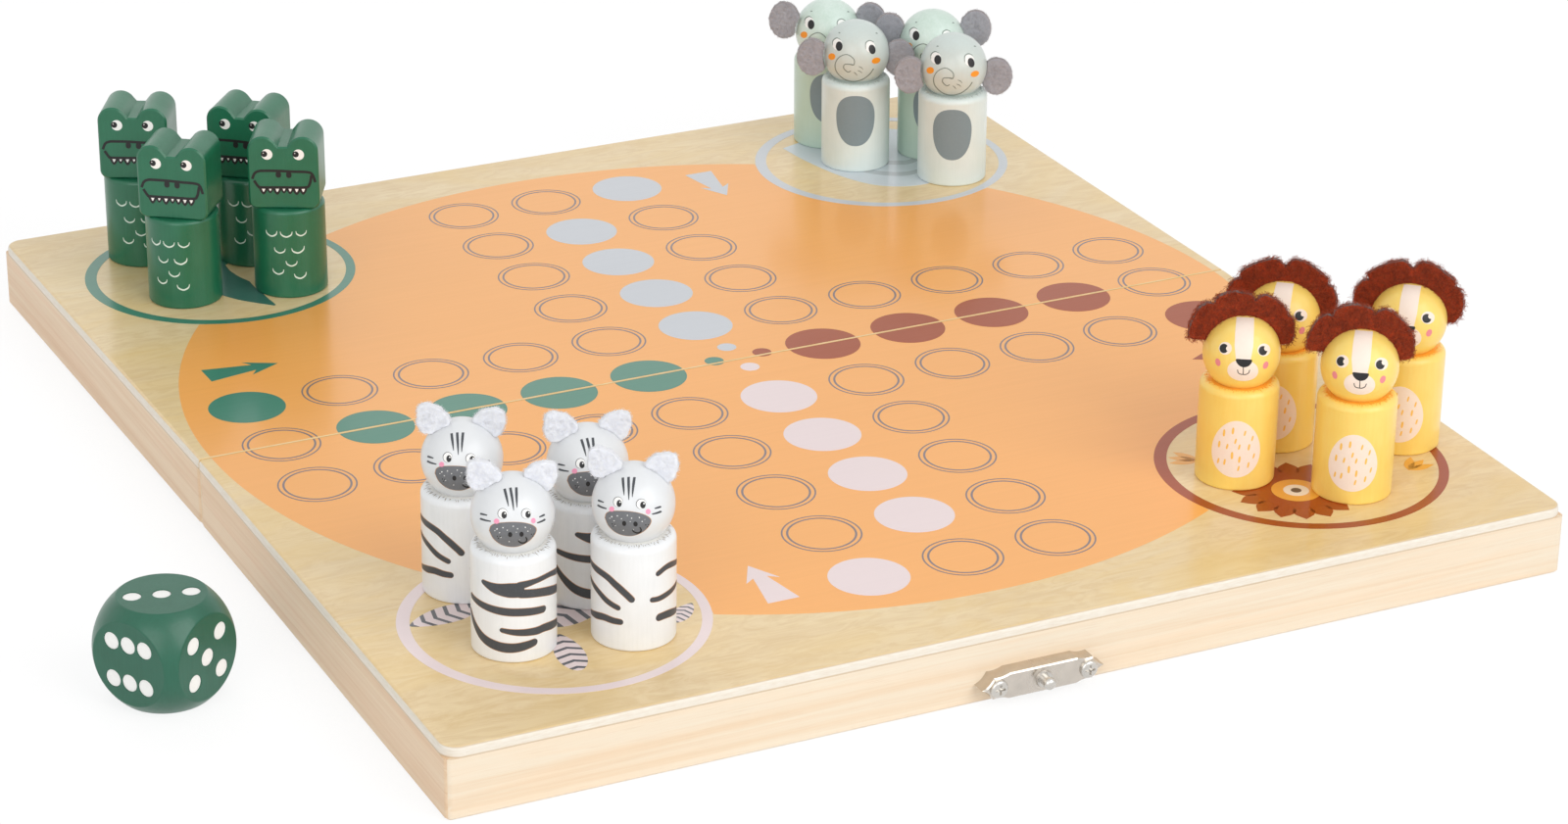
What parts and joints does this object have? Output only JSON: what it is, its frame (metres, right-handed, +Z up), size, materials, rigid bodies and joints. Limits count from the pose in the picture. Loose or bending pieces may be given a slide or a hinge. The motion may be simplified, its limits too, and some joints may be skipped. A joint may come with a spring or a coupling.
{
  "type": "folding ludo board box",
  "caption": "Wooden ludo board of two hinged shallow trays that folds shut into its own box, opened flat with animal pawns standing on it and a die beside it.",
  "frame": {"origin": "middle of the fold axis, at the level of the two rims where they meet", "axes": "+X along the fold, -Y towards the side with the catch, +Z up from the playing surface"},
  "size_m": [0.3178, 0.3111, 0.0615],
  "materials": {
    "printed_ply": "satin lacquer over print",
    "pine": "satin lacquer",
    "nickel_plate": "nickel plated",
    "screw_steel": "nickel plated",
    "zebra_paint": "satin paint",
    "lion_paint": "satin paint",
    "elephant_paint": "satin paint",
    "crocodile_paint": "satin paint",
    "zebra_felt": "felt",
    "lion_felt": "felt",
    "elephant_felt": "felt",
    "die_wood": "satin paint, painted pips"
  },
  "bodies": {
    "front_tray": {"front_panel": "printed_ply", "front_far_rail": "pine", "front_seam_rail": "pine", "front_left_rail": "pine", "front_right_rail": "pine", "front_left_hinge_leaf": "nickel_plate", "front_right_hinge_leaf": "nickel_plate", "front_hinge_screws": "screw_steel", "left_hinge_pin": "screw_steel", "right_hinge_pin": "screw_steel", "catch_plate": "nickel_plate", "catch_stud": "nickel_plate", "catch_screws": "screw_steel"},
    "back_tray": {"back_panel": "printed_ply", "back_far_rail": "pine", "back_seam_rail": "pine", "back_left_rail": "pine", "back_right_rail": "pine", "back_left_hinge_leaf": "nickel_plate", "back_right_hinge_leaf": "nickel_plate", "back_hinge_screws": "screw_steel", "hook_plate": "nickel_plate", "hook_rivet": "nickel_plate", "hook_screws": "screw_steel"},
    "hook": {"hook_arm": "nickel_plate"},
    "zebra_pawn_1": {"zebra_pawn_1": "zebra_paint", "zebra_pawn_1_ears": "zebra_felt"},
    "zebra_pawn_2": {"zebra_pawn_2": "zebra_paint", "zebra_pawn_2_ears": "zebra_felt"},
    "zebra_pawn_3": {"zebra_pawn_3": "zebra_paint", "zebra_pawn_3_ears": "zebra_felt"},
    "zebra_pawn_4": {"zebra_pawn_4": "zebra_paint", "zebra_pawn_4_ears": "zebra_felt"},
    "lion_pawn_1": {"lion_pawn_1": "lion_paint", "lion_pawn_1_mane": "lion_felt"},
    "lion_pawn_2": {"lion_pawn_2": "lion_paint", "lion_pawn_2_mane": "lion_felt"},
    "lion_pawn_3": {"lion_pawn_3": "lion_paint", "lion_pawn_3_mane": "lion_felt"},
    "lion_pawn_4": {"lion_pawn_4": "lion_paint", "lion_pawn_4_mane": "lion_felt"},
    "elephant_pawn_1": {"elephant_pawn_1": "elephant_paint", "elephant_pawn_1_ears": "elephant_felt"},
    "elephant_pawn_2": {"elephant_pawn_2": "elephant_paint", "elephant_pawn_2_ears": "elephant_felt"},
    "elephant_pawn_3": {"elephant_pawn_3": "elephant_paint", "elephant_pawn_3_ears": "elephant_felt"},
    "elephant_pawn_4": {"elephant_pawn_4": "elephant_paint", "elephant_pawn_4_ears": "elephant_felt"},
    "crocodile_pawn_1": {"crocodile_pawn_1_body": "crocodile_paint", "crocodile_pawn_1_head": "crocodile_paint"},
    "crocodile_pawn_2": {"crocodile_pawn_2_body": "crocodile_paint", "crocodile_pawn_2_head": "crocodile_paint"},
    "crocodile_pawn_3": {"crocodile_pawn_3_body": "crocodile_paint", "crocodile_pawn_3_head": "crocodile_paint"},
    "crocodile_pawn_4": {"crocodile_pawn_4_body": "crocodile_paint", "crocodile_pawn_4_head": "crocodile_paint"},
    "die": {"die": "die_wood"}
  },
  "joints": [
    {"name": "board_fold", "type": "hinge", "parent": "front_tray", "child": "back_tray", "pos_m": [0, 0, 0], "axis": [-1, 0, 0], "range_deg": [-1.2, 178.75]},
    {"name": "hook_swing", "type": "hinge", "parent": "back_tray", "child": "hook", "pos_m": [0, 0.14854, 0.0031], "axis": [0, -0.9999, 0.0108], "range_deg": [0, 90]},
    {"name": "zebra_pawn_1_lift", "type": "slide", "parent": "front_tray", "child": "zebra_pawn_1", "axis": [0, -0.0108, 0.9999], "range_m": [0, 0.06]},
    {"name": "zebra_pawn_2_lift", "type": "slide", "parent": "front_tray", "child": "zebra_pawn_2", "axis": [0, -0.0108, 0.9999], "range_m": [0, 0.06]},
    {"name": "zebra_pawn_3_lift", "type": "slide", "parent": "front_tray", "child": "zebra_pawn_3", "axis": [0, -0.0108, 0.9999], "range_m": [0, 0.06]},
    {"name": "zebra_pawn_4_lift", "type": "slide", "parent": "front_tray", "child": "zebra_pawn_4", "axis": [0, -0.0108, 0.9999], "range_m": [0, 0.06]},
    {"name": "lion_pawn_1_lift", "type": "slide", "parent": "front_tray", "child": "lion_pawn_1", "axis": [0, -0.0108, 0.9999], "range_m": [0, 0.06]},
    {"name": "lion_pawn_2_lift", "type": "slide", "parent": "front_tray", "child": "lion_pawn_2", "axis": [0, -0.0108, 0.9999], "range_m": [0, 0.06]},
    {"name": "lion_pawn_3_lift", "type": "slide", "parent": "front_tray", "child": "lion_pawn_3", "axis": [0, -0.0108, 0.9999], "range_m": [0, 0.06]},
    {"name": "lion_pawn_4_lift", "type": "slide", "parent": "front_tray", "child": "lion_pawn_4", "axis": [0, -0.0108, 0.9999], "range_m": [0, 0.06]},
    {"name": "elephant_pawn_1_lift", "type": "slide", "parent": "back_tray", "child": "elephant_pawn_1", "axis": [0, 0.0108, 0.9999], "range_m": [0, 0.06]},
    {"name": "elephant_pawn_2_lift", "type": "slide", "parent": "back_tray", "child": "elephant_pawn_2", "axis": [0, 0.0108, 0.9999], "range_m": [0, 0.06]},
    {"name": "elephant_pawn_3_lift", "type": "slide", "parent": "back_tray", "child": "elephant_pawn_3", "axis": [0, 0.0108, 0.9999], "range_m": [0, 0.06]},
    {"name": "elephant_pawn_4_lift", "type": "slide", "parent": "back_tray", "child": "elephant_pawn_4", "axis": [0, 0.0108, 0.9999], "range_m": [0, 0.06]},
    {"name": "crocodile_pawn_1_lift", "type": "slide", "parent": "back_tray", "child": "crocodile_pawn_1", "axis": [0, 0.0108, 0.9999], "range_m": [0, 0.06]},
    {"name": "crocodile_pawn_2_lift", "type": "slide", "parent": "back_tray", "child": "crocodile_pawn_2", "axis": [0, 0.0108, 0.9999], "range_m": [0, 0.06]},
    {"name": "crocodile_pawn_3_lift", "type": "slide", "parent": "back_tray", "child": "crocodile_pawn_3", "axis": [0, 0.0108, 0.9999], "range_m": [0, 0.06]},
    {"name": "crocodile_pawn_4_lift", "type": "slide", "parent": "back_tray", "child": "crocodile_pawn_4", "axis": [0, 0.0108, 0.9999], "range_m": [0, 0.06]},
    {"name": "die_lift", "type": "slide", "parent": "front_tray", "child": "die", "axis": [0, 0, 1], "range_m": [0, 0.06]}
  ]
}
